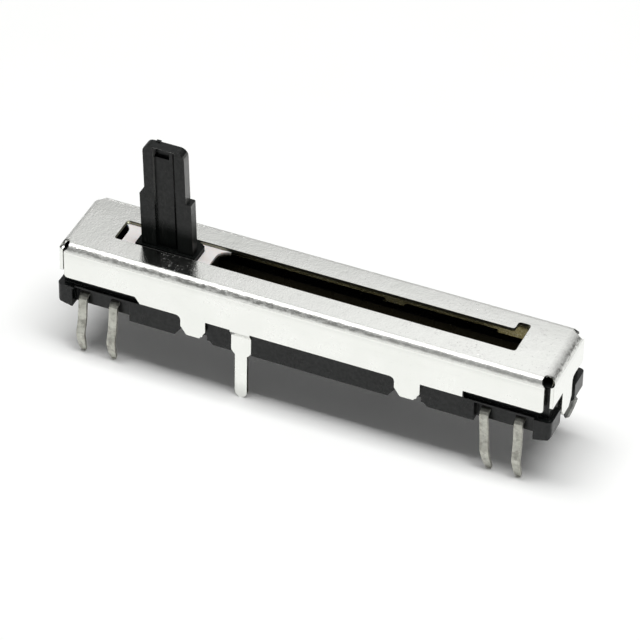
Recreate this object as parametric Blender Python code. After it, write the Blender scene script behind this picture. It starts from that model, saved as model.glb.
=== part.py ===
"""Slide potentiometer, two gangs, 30 mm travel, for a printed circuit board.

Metres, +Z up. X runs along the travel, -Y is the front and z = 0 is the plane of the pin tips.
The case stands still: a folded tinplate cover, a moulded base, the element board with its tracks,
terminals and rivets. The slider moves along X: the carrier, the lever and the two brushes.
"""
import math

import bmesh
import bpy
from mathutils import Matrix

# Case
COVER_LENGTH = 0.0450
COVER_WIDTH = 0.0081
CASE_HEIGHT = 0.00645
STANDOFF = 0.0048
SHEET = 0.0003
BEND_RADIUS = 0.0007
SEAT_GAP = 0.00003
RUNNING_GAP = 0.00007

# Travel: the case is longer than the travel by the room that the carrier and the ends take
END_ROOM = 0.0150
REST_FROM_LEFT_STOP = 0.0012
SLOT_END_ROOM = 0.00102
SLOT_OFFSET = -0.00012

# Lower edges of the cover's four walls, as heights above the board face
LONG_EDGE_HEIGHT = 0.00245
LONG_EDGE_END_HEIGHT = 0.00308
LONG_STEP_FROM_END = 0.00775
STEP_SLANT = 0.00045
SHORT_EDGE_HEIGHT = 0.00335
CORNER_SLIT_X = 0.00065
CORNER_SLIT_Y = 0.00055
CORNER_RELIEF_RADIUS = 0.0006
CORNER_RELIEF_DROP = 0.0004
WALL_CORNER_RADIUS = 0.0003

# Clinch tabs, with one corner folded under the base
TAB_SHARE = 0.2178
TAB_WIDTH = 0.0023
TAB_TIP_HEIGHT = 0.00058
TAB_CORNER_X = 0.00055
TAB_CORNER_Z = 0.00078
TAB_ROOT_RADIUS = 0.00045
HOOK_REACH = 0.00045
HOOK_THICKNESS = 0.00024

# Mounting legs
LEG_FROM_TAB = 0.00434
LEG_SHOULDER_WIDTH = 0.00184
LEG_WIDTH = 0.00112
LEG_INSET = 0.00034
LEG_JOG_TOP = 0.0023
LEG_JOG_BOTTOM = 0.00172

# Slot in the cover
SLOT_FRONT = 0.0013
SLOT_BACK = 0.00143
SLOT_CORNER_RADIUS = 0.00025
SLOT_NOTCH_LENGTH = 0.0011
SLOT_NOTCH_DEPTH = 0.001

# Base
FLOOR = 0.0004
BASE_WALL = 0.0011
END_POST = 0.0012
END_BLOCK_TOP = 0.00212
END_BLOCK_OUT_X = 0.0001
END_BLOCK_OUT_Y = 0.00008
END_BLOCK_RADIUS = 0.0004
END_BLOCK_SLOPE_RISE = 0.0003
END_BLOCK_TOE_RISE = 0.0006
END_BLOCK_TOE = 0.0002
SETBACK = 0.00035
RECESS_DEPTH = 0.00075
RECESS_HEIGHT = 0.00195
RECESS_OUTER_NEAR = 0.0013
RECESS_OUTER_FAR = 0.00145
RECESS_INNER_NEAR = 0.0066
RECESS_INNER_FAR = 0.0068
NOTCH_HEIGHT = 0.00088
NOTCH_STEP_HEIGHT = 0.00034
NOTCH_DEPTH = 0.00095
NOTCH_SLOPE = 0.00066
NOTCH_STEP = 0.00027

# Element board and its printed tracks
BOARD = 0.0004
TRACK_THICKNESS = 0.00004
TRACK_WIDTH = 0.0008
CARBON_Y = 0.00085
COLLECTOR_Y = 0.00195

# Terminals
TERMINAL_PITCH_NEAR = 0.00287
TERMINAL_PITCH_FAR = 0.00308
TERMINAL_NEAR_END = 0.0021
TERMINAL_FAR_END = 0.0029
TERMINAL_WIDTH = 0.00076
TERMINAL_THICKNESS = 0.00028
TERMINAL_BEND = 0.00055
TERMINAL_STANDOUT = 0.00046
PIN_LEAN = 0.00019
KINK_HEIGHT = 0.00215
KINK_OUT = 0.00058
TIP_IN = 0.00003
TIP_WIDTH = 0.00036
TIP_DRIFTS = (0.0, 0.0, 0.00074, 0.00029)

# The terminal that is bent aside, below the base
BENT_HEIGHT = 0.0041
BENT_SHIFT = -0.0016
BENT_BULGE = 0.3
BENT_TIP_SHIFT = -0.001
BENT_TIP_HEIGHT = 0.00175
BENT_TWIST = math.radians(-45)

# Rivets
RIVET_RADIUS = 0.0003
RIVET_HEAD_RADIUS = 0.0005
RIVET_HEAD = 0.00012
RIVET_TAIL = 0.0001

# Slider
CARRIER_LENGTH = 0.0101
CARRIER_WEB = 0.0082
CARRIER_HEIGHT = 0.00206
CARRIER_KEEL = 0.00119
CARRIER_MOUTH_FRONT = 0.0018
CARRIER_MOUTH_BACK = 0.0014
CARRIER_MOUTH_RADIUS = 0.001
CARRIER_MOUTH_LIP = 0.0004
CARRIER_MOUTH_RELIEF = 0.0007
FOOT_LENGTH = 0.00558
FOOT_OFFSET = 0.00013
FOOT_DEPTH = 0.0016
FOOT_RISE = 0.0001
FOOT_CORNER_X = 0.001
FOOT_CORNER_Y = 0.00065

# Lever
LEVER_HEIGHT = 0.0105
LEVER_WIDTH = 0.00382
LEVER_LOWER_WIDTH = 0.00475
LEVER_THICKNESS = 0.00095
LEVER_OFFSET = 0.00025
LEVER_SHOULDER_HEIGHT = 0.0054
LEVER_FRONT_INSET = 0.0002
LEVER_CORNER_RADIUS = 0.0007
LEVER_LEAN = 0.00036
CHANNEL_WIDTH = 0.0020
CHANNEL_DEPTH = 0.0003
CHANNEL_TOP_LIP = 0.00012
GROOVE_WIDTH = 0.0003
GROOVE_DEPTH = 0.0002
POCKET_WIDTH = 0.0014
POCKET_HEIGHT = 0.00105
POCKET_DEPTH = 0.0003
NUB_SIZE = 0.0002

# Brushes
BRUSH_THICKNESS = 0.0001
BRUSH_PLATE_LENGTH = 0.0016
BRUSH_REACH = 0.0022
BRUSH_CURL = 0.0003
FINGER_WIDTH = 0.0003
FINGER_GAP = 0.0001
CONTACT_GAP = 0.00004

# Derived levels
COVER_TOP = STANDOFF + CASE_HEIGHT
COVER_UNDERSIDE = COVER_TOP - SHEET
HALF_LENGTH = COVER_LENGTH / 2
HALF_WIDTH = COVER_WIDTH / 2
INNER_HALF_LENGTH = HALF_LENGTH - SHEET
INNER_HALF_WIDTH = HALF_WIDTH - SHEET
BASE_HALF_LENGTH = INNER_HALF_LENGTH - SEAT_GAP
BASE_HALF_WIDTH = INNER_HALF_WIDTH - SEAT_GAP
CAVITY_HALF_WIDTH = BASE_HALF_WIDTH - BASE_WALL
CAVITY_HALF_LENGTH = BASE_HALF_LENGTH - END_POST
FLOOR_TOP = STANDOFF + FLOOR
BOARD_BOTTOM = FLOOR_TOP + SEAT_GAP
BOARD_TOP = BOARD_BOTTOM + BOARD
TERMINAL_BOTTOM = BOARD_TOP + SEAT_GAP
TERMINAL_TOP = TERMINAL_BOTTOM + TERMINAL_THICKNESS
RECESS_FACE = BASE_HALF_WIDTH - RECESS_DEPTH
CARRIER_TOP = COVER_UNDERSIDE - RUNNING_GAP
CARRIER_BOTTOM = CARRIER_TOP - CARRIER_HEIGHT
BASE_WALL_TOP = CARRIER_BOTTOM - RUNNING_GAP
KEEL_BOTTOM = CARRIER_BOTTOM - CARRIER_KEEL
FOOT_FRONT = SLOT_FRONT - RUNNING_GAP
FOOT_BACK = SLOT_BACK - RUNNING_GAP
FOOT_TOP = COVER_TOP + FOOT_RISE
FOOT_BOTTOM = FOOT_TOP - FOOT_DEPTH
TRAVEL = COVER_LENGTH - END_ROOM
SLOT_LENGTH = TRAVEL + FOOT_LENGTH + SLOT_END_ROOM
LEVER_REST_X = -TRAVEL / 2 + REST_FROM_LEFT_STOP
TAB_X = COVER_LENGTH * TAB_SHARE
LEG_X = TAB_X - LEG_FROM_TAB
TERMINAL_XS = (
    -HALF_LENGTH + TERMINAL_NEAR_END,
    -HALF_LENGTH + TERMINAL_NEAR_END + TERMINAL_PITCH_NEAR,
    HALF_LENGTH - TERMINAL_FAR_END - TERMINAL_PITCH_FAR,
    HALF_LENGTH - TERMINAL_FAR_END,
)
RIVET_YS = (CARBON_Y, COLLECTOR_Y, COLLECTOR_Y, CARBON_Y)
TRACK_CLEARANCE = RIVET_HEAD_RADIUS + TERMINAL_WIDTH / 4
BRUSH_TIP_X = TERMINAL_XS[2] - TRACK_CLEARANCE - BRUSH_CURL - TRAVEL / 2
OVERCUT = 0.001
HALF_TURN = Matrix.Rotation(math.pi, 4, "Z")


# Mesh tools

def fillet(corners, segments=4):
    """Rounds each corner (u, v, radius) of an outline with an arc."""
    outline = []
    count = len(corners)
    for i, (u, v, radius) in enumerate(corners):
        if radius <= 0:
            outline.append((u, v))
            continue
        before = corners[i - 1]
        after = corners[(i + 1) % count]
        a = math.atan2(before[1] - v, before[0] - u)
        b = math.atan2(after[1] - v, after[0] - u)
        turn = (b - a + math.pi) % (2 * math.pi) - math.pi
        half = abs(turn) / 2
        middle = a + turn / 2
        reach = radius / math.sin(half)
        cu = u + reach * math.cos(middle)
        cv = v + reach * math.sin(middle)
        sweep = math.pi - 2 * half
        start = middle + math.pi + math.copysign(sweep / 2, turn)
        for k in range(segments + 1):
            angle = start - math.copysign(sweep, turn) * k / segments
            outline.append((cu + radius * math.cos(angle), cv + radius * math.sin(angle)))
    return outline


def place(u, v, w, axis):
    """Turns outline coordinates and a depth into a point: the depth runs along the axis."""
    if axis == "X":
        return (w, u, v)
    if axis == "Y":
        return (u, w, v)
    return (u, v, w)


def prism(outline, axis, low, high):
    """Extrudes a closed outline along an axis between two depths."""
    bm = bmesh.new()
    near = [bm.verts.new(place(u, v, low, axis)) for u, v in outline]
    far = [bm.verts.new(place(u, v, high, axis)) for u, v in outline]
    bm.faces.new(near)
    bm.faces.new(list(reversed(far)))
    count = len(outline)
    for i in range(count):
        j = (i + 1) % count
        bm.faces.new((near[j], near[i], far[i], far[j]))
    bmesh.ops.recalc_face_normals(bm, faces=bm.faces)
    return bm


def block(x0, x1, y0, y1, z0, z1):
    """A box between two corners."""
    return prism([(x0, y0), (x1, y0), (x1, y1), (x0, y1)], "Z", z0, z1)


def loft(sections):
    """Skins a row of sections, each with the same number of points, and caps the ends."""
    bm = bmesh.new()
    rings = [[bm.verts.new(point) for point in section] for section in sections]
    for near, far in zip(rings, rings[1:]):
        count = len(near)
        for i in range(count):
            j = (i + 1) % count
            bm.faces.new((near[i], near[j], far[j], far[i]))
    bm.faces.new(list(reversed(rings[0])))
    bm.faces.new(rings[-1])
    bmesh.ops.recalc_face_normals(bm, faces=bm.faces)
    return bm


def turned(profile, segments=16):
    """Turns a profile of (radius, height) about Z and caps both ends."""
    sections = []
    for radius, height in profile:
        ring = []
        for k in range(segments):
            angle = 2 * math.pi * k / segments
            ring.append((radius * math.cos(angle), radius * math.sin(angle), height))
        sections.append(ring)
    return loft(sections)


def ball(centre, radius):
    """A small ball, used to round a relief."""
    bm = bmesh.new()
    bmesh.ops.create_uvsphere(bm, u_segments=16, v_segments=8, radius=radius)
    bmesh.ops.translate(bm, verts=bm.verts, vec=centre)
    return bm


def moved(bm, matrix):
    """Moves a shape by a matrix."""
    bmesh.ops.transform(bm, matrix=matrix, verts=bm.verts)
    return bm


def mesh_object(name, bm):
    """Makes an object from a shape and frees the shape."""
    mesh = bpy.data.meshes.new(name)
    bm.to_mesh(mesh)
    bm.free()
    ob = bpy.data.objects.new(name, mesh)
    bpy.context.scene.collection.objects.link(ob)
    return ob


def carve(ob, shapes, operation="DIFFERENCE"):
    """Cuts shapes out of an object, or joins them to it, one after the other."""
    tools = []
    for i, shape in enumerate(shapes):
        tool = mesh_object(f"{ob.name}_tool_{i}", shape)
        tool.hide_render = True
        tool.display_type = "WIRE"
        modifier = ob.modifiers.new(f"shape_{i}", "BOOLEAN")
        modifier.operation = operation
        modifier.object = tool
        tools.append(tool)
    depsgraph = bpy.context.evaluated_depsgraph_get()
    finished = bpy.data.meshes.new_from_object(ob.evaluated_get(depsgraph))
    finished.name = ob.data.name
    ob.modifiers.clear()
    ob.data = finished
    for tool in tools:
        bpy.data.objects.remove(tool, do_unlink=True)


def shade(ob, angle=35):
    """Smooth shading with sharp edges kept."""
    ob.data.shade_smooth()
    ob.data.set_sharp_from_angle(angle=math.radians(angle))


def material(name, colour, roughness, metallic):
    """A Principled material of one colour."""
    mat = bpy.data.materials.new(name)
    mat.use_nodes = True
    shader = mat.node_tree.nodes["Principled BSDF"]
    shader.inputs["Base Color"].default_value = (*colour, 1.0)
    shader.inputs["Roughness"].default_value = roughness
    shader.inputs["Metallic"].default_value = metallic
    return mat


def finish(ob, mat, parent):
    """Gives an object its material and its parent."""
    ob.data.materials.clear()
    ob.data.materials.append(mat)
    shade(ob)
    ob.parent = parent
    return ob


# Cover

def rounded_box(half_x, half_y, top, bottom, radius):
    """A box whose four top edges are rounded like a sheet's bends."""
    bm = block(-half_x, half_x, -half_y, half_y, bottom, top)
    edges = [e for e in bm.edges if all(v.co.z > (top + bottom) / 2 for v in e.verts)]
    bmesh.ops.bevel(bm, geom=edges, offset=radius, segments=5, profile=0.5, affect="EDGES")
    return bm


def tab_outline(centre, edge, mirrored):
    """Lower edge of one clinch tab, from its left root to its right root."""
    tip = STANDOFF + TAB_TIP_HEIGHT
    half = TAB_WIDTH / 2
    points = [
        (-half, edge, TAB_ROOT_RADIUS),
        (-half, tip + TAB_CORNER_Z, 0.0),
        (-half + TAB_CORNER_X, tip, 0.0),
        (half - TAB_CORNER_X, tip, 0.0),
        (half, tip + TAB_CORNER_Z, 0.0),
        (half, edge, 0.0),
    ]
    if mirrored:
        points = [(-u, v, r) for u, v, r in reversed(points)]
    return [(centre + u, v, r) for u, v, r in points]


def long_wall_cut():
    """What is cut away below the front wall, with its tabs left standing."""
    edge = STANDOFF + LONG_EDGE_HEIGHT
    end_edge = STANDOFF + LONG_EDGE_END_HEIGHT
    end = HALF_LENGTH - CORNER_SLIT_X
    step = HALF_LENGTH - LONG_STEP_FROM_END
    over = HALF_LENGTH + OVERCUT
    corner_top = end_edge + WALL_CORNER_RADIUS
    corners = [(-over, 0.0, 0.0), (-over, corner_top, 0.0), (-end, corner_top, 0.0)]
    corners += [(-end, end_edge, WALL_CORNER_RADIUS)]
    corners += [(-step - STEP_SLANT, end_edge, 0.0), (-step, edge, 0.0)]
    corners += tab_outline(-TAB_X, edge, False)
    corners += tab_outline(TAB_X, edge, False)
    corners += [(step, edge, 0.0), (step, end_edge, 0.0), (end, end_edge, WALL_CORNER_RADIUS)]
    corners += [(end, corner_top, 0.0), (over, corner_top, 0.0), (over, 0.0, 0.0)]
    return prism(fillet(corners), "Y", -HALF_WIDTH - OVERCUT, -INNER_HALF_WIDTH + CORNER_SLIT_Y / 4)


def short_wall_cut():
    """What is cut away below the right end wall, with its tab left standing."""
    edge = STANDOFF + SHORT_EDGE_HEIGHT
    over = HALF_WIDTH + OVERCUT
    corners = [(-over, 0.0, 0.0), (-over, edge, 0.0)]
    corners += tab_outline(0.0, edge, True)
    corners += [(over, edge, 0.0), (over, 0.0, 0.0)]
    return prism(fillet(corners), "X", INNER_HALF_LENGTH - CORNER_SLIT_X / 4, HALF_LENGTH + OVERCUT)


def slot_outline():
    """The slot, with the notch at the right end of its back edge."""
    left = SLOT_OFFSET - SLOT_LENGTH / 2
    right = SLOT_OFFSET + SLOT_LENGTH / 2
    r = SLOT_CORNER_RADIUS
    notch_left = right - SLOT_NOTCH_LENGTH
    notch_back = SLOT_BACK + SLOT_NOTCH_DEPTH
    corners = [(left, -SLOT_FRONT, r), (right, -SLOT_FRONT, r), (right, notch_back, r)]
    corners += [(notch_left, notch_back, r), (notch_left, SLOT_BACK, r), (left, SLOT_BACK, r)]
    return fillet(corners, 3)


def leg():
    """A mounting leg on the front wall: it jogs inwards, then narrows to a rounded tip."""
    outer = HALF_WIDTH
    inner = HALF_WIDTH - LEG_INSET
    shoulder = LEG_SHOULDER_WIDTH / 2
    half = LEG_WIDTH / 2
    edge = STANDOFF + LONG_EDGE_HEIGHT
    shoulder_end = STANDOFF - half * 0.2
    stations = [(outer, edge + SHEET, shoulder), (outer, STANDOFF + LEG_JOG_TOP, shoulder)]
    stations += [(inner, STANDOFF + LEG_JOG_BOTTOM, shoulder)]
    stations += [(inner, shoulder_end + SHEET, shoulder), (inner, shoulder_end, (shoulder + half) / 2)]
    stations += [(inner, shoulder_end - SHEET / 2, half)]
    for k in range(6):
        angle = math.radians(90) * k / 5
        stations.append((inner, half * (1 - math.sin(angle)), half * max(math.cos(angle), 0.15)))
    sections = []
    for out, z, w in stations:
        section = [(-w, -out, z), (w, -out, z), (w, -out + SHEET, z), (-w, -out + SHEET, z)]
        sections.append([(x - LEG_X, y, z) for x, y, z in section])
    return loft(sections)


def hook(centre, side):
    """The folded corner of a clinch tab: a flap that tapers inwards under the notch's ceiling."""
    low_z = STANDOFF + TAB_TIP_HEIGHT + SHEET / 6
    high_z = STANDOFF + NOTCH_HEIGHT - SEAT_GAP
    low_u = TAB_WIDTH / 2 - TAB_CORNER_X - SHEET / 3
    slope = TAB_CORNER_X / TAB_CORNER_Z
    sections = []
    for y, share in ((-INNER_HALF_WIDTH - SHEET / 2, 1.0), (-INNER_HALF_WIDTH + HOOK_REACH, 0.3)):
        rise = (high_z - low_z) * share
        outline = [(low_u, low_z), (low_u + HOOK_THICKNESS, low_z)]
        outline += [(low_u + HOOK_THICKNESS + rise * slope, low_z + rise)]
        outline += [(low_u + rise * slope, low_z + rise)]
        sections.append([(centre + side * u, y, v) for u, v in outline])
    return loft(sections)


def quarter_turn(bm):
    """Turns a front shape that is centred on x = 0 to the right end wall."""
    shift = Matrix.Translation((HALF_LENGTH - HALF_WIDTH, 0.0, 0.0))
    return moved(bm, shift @ Matrix.Rotation(math.pi / 2, 4, "Z"))


def make_cover():
    """The folded tinplate cover with its slot, tabs and legs, in one piece."""
    bottom = STANDOFF + TAB_TIP_HEIGHT
    ob = mesh_object("cover", rounded_box(HALF_LENGTH, HALF_WIDTH, COVER_TOP, bottom, BEND_RADIUS))
    inner_radius = BEND_RADIUS - SHEET
    inside = rounded_box(INNER_HALF_LENGTH, INNER_HALF_WIDTH, COVER_UNDERSIDE, bottom - OVERCUT, inner_radius)
    cuts = [inside, prism(slot_outline(), "Z", COVER_UNDERSIDE - OVERCUT, COVER_TOP + OVERCUT)]
    cuts += [long_wall_cut(), moved(long_wall_cut(), HALF_TURN)]
    cuts += [short_wall_cut(), moved(short_wall_cut(), HALF_TURN)]
    slit_x = HALF_LENGTH - CORNER_SLIT_X
    slit_y = HALF_WIDTH - CORNER_SLIT_Y
    for sx in (-1, 1):
        for sy in (-1, 1):
            xs = sorted((sx * slit_x, sx * (HALF_LENGTH + OVERCUT)))
            ys = sorted((sy * slit_y, sy * (HALF_WIDTH + OVERCUT)))
            cuts.append(block(*xs, *ys, 0.0, COVER_TOP + OVERCUT))
            relief = (sx * (slit_x + SHEET / 2), sy * slit_y, COVER_TOP - CORNER_RELIEF_DROP)
            cuts.append(ball(relief, CORNER_RELIEF_RADIUS))
    carve(ob, cuts)
    additions = [leg(), moved(leg(), HALF_TURN)]
    for sign in (-1, 1):
        additions.append(hook(sign * TAB_X, 1))
        additions.append(moved(hook(sign * TAB_X, 1), HALF_TURN))
    additions.append(quarter_turn(hook(0.0, -1)))
    additions.append(moved(quarter_turn(hook(0.0, -1)), HALF_TURN))
    carve(ob, additions, "UNION")
    return ob


# Base

def tab_notch(centre, side=1):
    """Notch in the base's lower edge that takes a clinch tab, as a front outline."""
    half = TAB_WIDTH / 2 + SEAT_GAP
    top = STANDOFF + NOTCH_HEIGHT
    step = STANDOFF + NOTCH_STEP_HEIGHT
    points = [(-half - NOTCH_SLOPE, STANDOFF), (-half, top), (half, top), (half, step)]
    points += [(half + NOTCH_STEP, step), (half + 2 * NOTCH_STEP, STANDOFF)]
    points += [(half + 2 * NOTCH_STEP, STANDOFF - OVERCUT), (-half - NOTCH_SLOPE, STANDOFF - OVERCUT)]
    outline = [(centre + side * u, v) for u, v in points]
    return prism(outline, "Y", -BASE_HALF_WIDTH - OVERCUT, -BASE_HALF_WIDTH + NOTCH_DEPTH)


def terminal_recess(x_outer, x_inner):
    """Recess in the front face in which a pair of terminals comes out."""
    front = -BASE_HALF_WIDTH
    top = STANDOFF + RECESS_HEIGHT
    return block(*sorted((x_outer, x_inner)), front - OVERCUT, front + RECESS_DEPTH, STANDOFF - OVERCUT, top)


def terminal_window(x):
    """Hole in the front wall that a terminal passes through."""
    half = TERMINAL_WIDTH / 2 + SEAT_GAP
    ys = (-RECESS_FACE - OVERCUT, -CAVITY_HALF_WIDTH + OVERCUT)
    return block(x - half, x + half, *ys, TERMINAL_BOTTOM - SEAT_GAP, TERMINAL_TOP + SEAT_GAP)


def end_block():
    """Block at the right end of the base, as wide as the cover, that carries the end terminals' recesses."""
    near = HALF_LENGTH - RECESS_OUTER_FAR
    far = HALF_LENGTH + END_BLOCK_OUT_X
    half_y = HALF_WIDTH - END_BLOCK_OUT_Y
    corners = [(near, -half_y, 0.0), (far, -half_y, END_BLOCK_RADIUS), (far, half_y, END_BLOCK_RADIUS)]
    corners += [(near, half_y, 0.0)]
    return prism(fillet(corners), "Z", STANDOFF, STANDOFF + END_BLOCK_TOP)


def end_slope():
    """What is cut away below the right end block: a slight slope that turns up at its toe."""
    near = HALF_LENGTH - RECESS_OUTER_FAR
    far = HALF_LENGTH + END_BLOCK_OUT_X
    over = HALF_WIDTH + OVERCUT
    outline = [(near, STANDOFF - OVERCUT), (near, STANDOFF)]
    outline += [(far - END_BLOCK_TOE, STANDOFF + END_BLOCK_SLOPE_RISE)]
    outline += [(far, STANDOFF + END_BLOCK_TOE_RISE), (far + OVERCUT, STANDOFF + END_BLOCK_TOE_RISE)]
    outline += [(far + OVERCUT, STANDOFF - OVERCUT)]
    return prism(outline, "Y", -over, over)


def base_end_cuts():
    """Cuts of one half of the base, at its right end: setbacks, post rounding and room for the end tab."""
    post_top = COVER_UNDERSIDE - SEAT_GAP
    over_x = HALF_LENGTH + OVERCUT
    over_y = HALF_WIDTH + OVERCUT
    step_x = HALF_LENGTH - LONG_STEP_FROM_END
    tab_half = TAB_WIDTH / 2 + 2 * NOTCH_STEP
    cuts = [end_slope()]
    for sign in (-1, 1):
        ys = sorted((sign * (BASE_HALF_WIDTH - SETBACK), sign * over_y))
        cuts.append(block(step_x, over_x, *ys, STANDOFF + END_BLOCK_TOP, post_top + OVERCUT))
    low = post_top - BEND_RADIUS
    cuts.append(block(BASE_HALF_LENGTH - BEND_RADIUS, over_x, -over_y, over_y, low, post_top + OVERCUT))
    cuts.append(block(BASE_HALF_LENGTH, over_x, -tab_half, tab_half, 0.0, post_top))
    return cuts


def make_base():
    """The moulded base: a trough with end blocks and posts, terminal recesses and notches for the tabs."""
    half_x = BASE_HALF_LENGTH
    half_y = BASE_HALF_WIDTH
    post_top = COVER_UNDERSIDE - SEAT_GAP
    corner = BEND_RADIUS - SHEET
    outline = [(-half_x, -half_y, corner), (half_x, -half_y, corner), (half_x, half_y, corner)]
    outline += [(-half_x, half_y, corner)]
    ob = mesh_object("base", prism(fillet(outline, 3), "Z", STANDOFF, post_top))
    carve(ob, [end_block(), moved(end_block(), HALF_TURN)], "UNION")
    cavity_x = CAVITY_HALF_LENGTH
    over_y = HALF_WIDTH + OVERCUT
    cuts = [block(-cavity_x, cavity_x, -over_y, over_y, BASE_WALL_TOP, post_top + OVERCUT)]
    cuts.append(block(-cavity_x, cavity_x, -CAVITY_HALF_WIDTH, CAVITY_HALF_WIDTH, FLOOR_TOP, post_top))
    groove_half = LEG_SHOULDER_WIDTH / 2 + SEAT_GAP
    for side in (Matrix.Identity(4), HALF_TURN):
        parts = base_end_cuts()
        parts.append(terminal_recess(RECESS_OUTER_NEAR - HALF_LENGTH, RECESS_INNER_NEAR - HALF_LENGTH))
        parts.append(terminal_recess(HALF_LENGTH - RECESS_OUTER_FAR, HALF_LENGTH - RECESS_INNER_FAR))
        parts += [terminal_window(x) for x in TERMINAL_XS]
        parts += [tab_notch(-TAB_X), tab_notch(TAB_X), quarter_turn(tab_notch(0.0, -1))]
        groove_xs = (-LEG_X - groove_half, -LEG_X + groove_half)
        groove_ys = (-over_y, -half_y + LEG_INSET + SEAT_GAP)
        parts.append(block(*groove_xs, *groove_ys, STANDOFF - OVERCUT, BASE_WALL_TOP + OVERCUT))
        cuts += [moved(part, side) for part in parts]
    for x, y in rivet_places():
        pocket = turned([(RIVET_HEAD_RADIUS + SEAT_GAP, FLOOR_TOP - RIVET_TAIL - SEAT_GAP),
                         (RIVET_HEAD_RADIUS + SEAT_GAP, FLOOR_TOP + SEAT_GAP)])
        cuts.append(moved(pocket, Matrix.Translation((x, y, 0.0))))
    carve(ob, cuts)
    return ob


# Element board

def rivet_places():
    """Rivet centres of both rows: the back row is the front row turned by half a turn."""
    front = [(x, -y) for x, y in zip(TERMINAL_XS, RIVET_YS)]
    return front + [(-x, -y) for x, y in front]


def make_board():
    """The element board in the trough, with its rivet holes."""
    half_x = CAVITY_HALF_LENGTH - SEAT_GAP
    half_y = CAVITY_HALF_WIDTH - SEAT_GAP
    ob = mesh_object("element_board", block(-half_x, half_x, -half_y, half_y, BOARD_BOTTOM, BOARD_TOP))
    holes = []
    for x, y in rivet_places():
        hole = turned([(RIVET_RADIUS + SEAT_GAP, BOARD_BOTTOM - SEAT_GAP),
                       (RIVET_RADIUS + SEAT_GAP, BOARD_TOP + SEAT_GAP)])
        holes.append(moved(hole, Matrix.Translation((x, y, 0.0))))
    carve(ob, holes)
    return ob


def make_track(name, y, x_low, x_high):
    """One printed track on the board, with round ends."""
    half = TRACK_WIDTH / 2
    bottom = BOARD_TOP + SEAT_GAP / 3
    corners = [(x_low, y - half, half * 0.9), (x_high, y - half, half * 0.9)]
    corners += [(x_high, y + half, half * 0.9), (x_low, y + half, half * 0.9)]
    return mesh_object(name, prism(fillet(corners), "Z", bottom, bottom + TRACK_THICKNESS))


def track_span(row):
    """Free span of the carbon and collector tracks of one row, clear of the terminals' eyes."""
    outer = (TERMINAL_XS[0] + TRACK_CLEARANCE, TERMINAL_XS[3] - TRACK_CLEARANCE)
    inner = (TERMINAL_XS[1] + TRACK_CLEARANCE, TERMINAL_XS[2] - TRACK_CLEARANCE)
    if row == "back":
        outer = (-outer[1], -outer[0])
        inner = (-inner[1], -inner[0])
    return outer, inner


# Terminals and rivets

def pin_stations():
    """Stations of a terminal outside the wall: distance out, height and width."""
    centre_z = (TERMINAL_BOTTOM + TERMINAL_TOP) / 2
    out = RECESS_FACE + TERMINAL_STANDOUT
    bend_z = centre_z - TERMINAL_BEND
    stations = []
    for k in range(5):
        angle = math.radians(90) * k / 4
        bend_out = out - TERMINAL_BEND * (1 - math.sin(angle))
        stations.append((bend_out, bend_z + TERMINAL_BEND * math.cos(angle), 1.0))
    stations.append((out + PIN_LEAN, KINK_HEIGHT * 1.62, 1.0))
    stations.append((out + KINK_OUT * 0.7, KINK_HEIGHT * 1.28, 1.0))
    stations.append((out + KINK_OUT, KINK_HEIGHT, 1.0))
    stations.append((out + KINK_OUT * 0.96, KINK_HEIGHT * 0.84, 0.96))
    stations.append((out + KINK_OUT * 0.6, KINK_HEIGHT * 0.45, 0.8))
    stations.append((out + KINK_OUT * 0.2, KINK_HEIGHT * 0.14, 0.55))
    stations.append((out - TIP_IN, 0.0, 0.0))
    return [(o, z, TIP_WIDTH + (TERMINAL_WIDTH - TIP_WIDTH) * share) for o, z, share in stations]


def bend_aside(stations):
    """Bends a terminal aside below the base and twists it: adds a shift and a twist to each station."""
    upper = [station for station in stations if station[1] > STANDOFF]
    lower = [station for station in stations if station[1] <= STANDOFF]
    knee_out, _, knee_width = upper[-1]
    path = [(0.0, out, z, width, 0.0) for out, z, width in upper]
    path.append((0.0, knee_out, STANDOFF - SHEET / 3, knee_width, 0.0))
    for out, z, width in lower:
        share = 1.0 - z / lower[0][1]
        shift = BENT_SHIFT + (BENT_TIP_SHIFT - BENT_SHIFT) * share
        height = BENT_HEIGHT + (BENT_TIP_HEIGHT - BENT_HEIGHT) * share
        path.append((shift, knee_out + (out - knee_out) * BENT_BULGE, height, width, BENT_TWIST))
    return path


def strip_sections(stations):
    """Square-edged sections of a strip through stations of shift, distance out, height, width and twist."""
    sections = []
    half = TERMINAL_THICKNESS / 2
    last = len(stations) - 1
    for i, (shift, out, z, width, twist) in enumerate(stations):
        before = stations[max(i - 1, 0)]
        after = stations[min(i + 1, last)]
        along = (0.0, -1.0) if i == last else (after[1] - before[1], after[2] - before[2])
        length = math.hypot(*along)
        normal = (-along[1] / length * half, along[0] / length * half)
        section = []
        for w, n in ((-width / 2, 1), (width / 2, 1), (width / 2, -1), (-width / 2, -1)):
            a = n * normal[0]
            x = shift + w * math.cos(twist) + a * math.sin(twist)
            section.append((x, w * math.sin(twist) - out - a * math.cos(twist), z + n * normal[1]))
        sections.append(section)
    return sections


def drift_aside(stations, drift):
    """Leans a terminal sideways below the base, by the drift at its tip."""
    return [(drift * max(0.0, 1 - z / STANDOFF), out, z, width, 0.0) for out, z, width in stations]


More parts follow.
